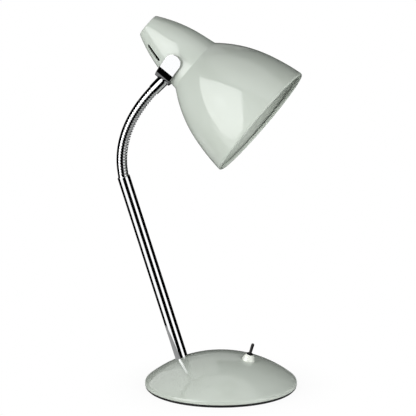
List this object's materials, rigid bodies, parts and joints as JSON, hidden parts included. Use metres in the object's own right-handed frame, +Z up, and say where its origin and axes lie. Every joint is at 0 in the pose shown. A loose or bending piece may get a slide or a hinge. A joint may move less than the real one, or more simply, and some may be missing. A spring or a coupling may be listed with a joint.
{
  "type": "gooseneck desk lamp",
  "caption": "Desk lamp with a weighted round base, toggle switch, leaning stem, flexible ribbed gooseneck and a bell-shaped shade that tilts in a strap yoke.",
  "frame": {"origin": "centre of the round base's underside, on the surface that the lamp stands on", "axes": "+Z up; +X the way the shade reaches and points; XZ is the lamp's plane of symmetry"},
  "size_m": [0.1896, 0.152, 0.3777],
  "materials": {
    "enamel": "gloss pale sage-grey enamel",
    "chrome": "bright chrome plate",
    "iron": "as cast",
    "black_steel": "satin black lacquer",
    "pad_rubber": "matt moulded rubber",
    "rubber": "matt black",
    "plated_steel": "zinc plated",
    "nickel_nut": "pale satin nickel, knurled",
    "black_plastic": "moulded black",
    "phenolic": "moulded dark phenolic",
    "lead_sheath": "white flexible sheath",
    "brass": "plain",
    "nylon": "natural nylon",
    "cap_aluminium": "rolled thread",
    "porcelain": "glazed porcelain",
    "frosted_glass": "frosted white"
  },
  "bodies": {
    "lamp_base": {"base_shell": "enamel", "base_weight": "iron", "base_plate": "black_steel", "foot_pad": "pad_rubber", "shell_studs": "plated_steel", "stud_nuts": "plated_steel", "plate_screws": "plated_steel", "cord_grommet": "rubber", "switch_body": "phenolic", "switch_bushing": "nickel_nut", "switch_lock_nut": "plated_steel", "switch_dress_nut": "nickel_nut", "switch_collar": "black_plastic", "switch_terminals": "brass", "base_lead": "lead_sheath", "stem_tube": "chrome", "stem_nipple": "plated_steel", "stem_saddle": "plated_steel", "stem_nut": "plated_steel", "stem_top_plug": "chrome", "stem_lead": "lead_sheath"},
    "switch_toggle": {"switch_lever": "black_plastic"},
    "neck_01": {"gooseneck_link_01": "chrome", "gooseneck_lead_01": "lead_sheath"},
    "neck_02": {"gooseneck_link_02": "chrome", "gooseneck_lead_02": "lead_sheath"},
    "neck_03": {"gooseneck_link_03": "chrome", "gooseneck_lead_03": "lead_sheath"},
    "neck_04": {"gooseneck_link_04": "chrome", "gooseneck_lead_04": "lead_sheath"},
    "neck_05": {"gooseneck_link_05": "chrome", "gooseneck_lead_05": "lead_sheath"},
    "neck_06": {"gooseneck_link_06": "chrome", "gooseneck_lead_06": "lead_sheath"},
    "neck_07": {"gooseneck_link_07": "chrome", "gooseneck_lead_07": "lead_sheath"},
    "neck_08": {"gooseneck_link_08": "chrome", "gooseneck_lead_08": "lead_sheath"},
    "yoke_head": {"neck_ferrule": "chrome", "ferrule_lead": "lead_sheath", "yoke": "chrome", "pivot_studs": "plated_steel", "pivot_washers": "plated_steel", "pivot_nuts": "plated_steel"},
    "shade_head": {"pivot_spacers": "nylon", "shade": "enamel", "lead_bush": "rubber", "head_lead": "lead_sheath", "holder_bracket": "plated_steel", "holder_entry": "plated_steel", "holder_nut": "plated_steel", "holder_cap": "phenolic", "holder_shell": "phenolic", "holder_insulator": "porcelain", "holder_thread": "brass", "holder_contact": "brass", "bulb_contact": "brass", "bulb_cap": "cap_aluminium", "bulb_globe": "frosted_glass"}
  },
  "joints": [
    {"name": "neck_bend_01", "type": "hinge", "parent": "lamp_base", "child": "neck_01", "pos_m": [-0.10319, 0, 0.20947], "axis": [0, 1, 0], "range_deg": [-14, 9]},
    {"name": "neck_sway_01", "type": "hinge", "parent": "neck_01", "child": "neck_02", "pos_m": [-0.10497, 0, 0.22179], "axis": [0.9982, 0, 0.0602], "range_deg": [-12, 12]},
    {"name": "neck_bend_02", "type": "hinge", "parent": "neck_02", "child": "neck_03", "pos_m": [-0.10468, 0, 0.23423], "axis": [0, 1, 0], "range_deg": [-14, 9]},
    {"name": "neck_sway_02", "type": "hinge", "parent": "neck_03", "child": "neck_04", "pos_m": [-0.10254, 0, 0.2465], "axis": [0.9713, 0, -0.2377], "range_deg": [-12, 12]},
    {"name": "neck_bend_03", "type": "hinge", "parent": "neck_04", "child": "neck_05", "pos_m": [-0.09878, 0, 0.25837], "axis": [0, 1, 0], "range_deg": [-14, 9]},
    {"name": "neck_sway_03", "type": "hinge", "parent": "neck_05", "child": "neck_06", "pos_m": [-0.09364, 0, 0.2697], "axis": [0.8882, 0, -0.4594], "range_deg": [-12, 12]},
    {"name": "neck_bend_04", "type": "hinge", "parent": "neck_06", "child": "neck_07", "pos_m": [-0.08736, 0, 0.28045], "axis": [0, 1, 0], "range_deg": [-14, 9]},
    {"name": "neck_sway_04", "type": "hinge", "parent": "neck_07", "child": "neck_08", "pos_m": [-0.08016, 0, 0.29062], "axis": [0.7949, 0, -0.6067], "range_deg": [-12, 12]},
    {"name": "neck_bend_05", "type": "hinge", "parent": "neck_08", "child": "yoke_head", "pos_m": [-0.07226, 0, 0.30023], "axis": [0, 1, 0], "range_deg": [-14, 9]},
    {"name": "shade_tilt", "type": "hinge", "parent": "yoke_head", "child": "shade_head", "pos_m": [-0.04025, 0, 0.34041], "axis": [0, 1, 0], "range_deg": [-28, 4]},
    {"name": "switch_flick", "type": "hinge", "parent": "lamp_base", "child": "switch_toggle", "pos_m": [0.03002, 0, 0.03529], "axis": [0.97, 0, -0.2433], "range_deg": [0, 24]}
  ],
  "couplings": [
    {"joint": "neck_bend_02", "follows": "neck_bend_01", "ratio": 1},
    {"joint": "neck_sway_02", "follows": "neck_sway_01", "ratio": 1},
    {"joint": "neck_bend_03", "follows": "neck_bend_01", "ratio": 1},
    {"joint": "neck_sway_03", "follows": "neck_sway_01", "ratio": 1},
    {"joint": "neck_bend_04", "follows": "neck_bend_01", "ratio": 1},
    {"joint": "neck_sway_04", "follows": "neck_sway_01", "ratio": 1},
    {"joint": "neck_bend_05", "follows": "neck_bend_01", "ratio": 1}
  ]
}
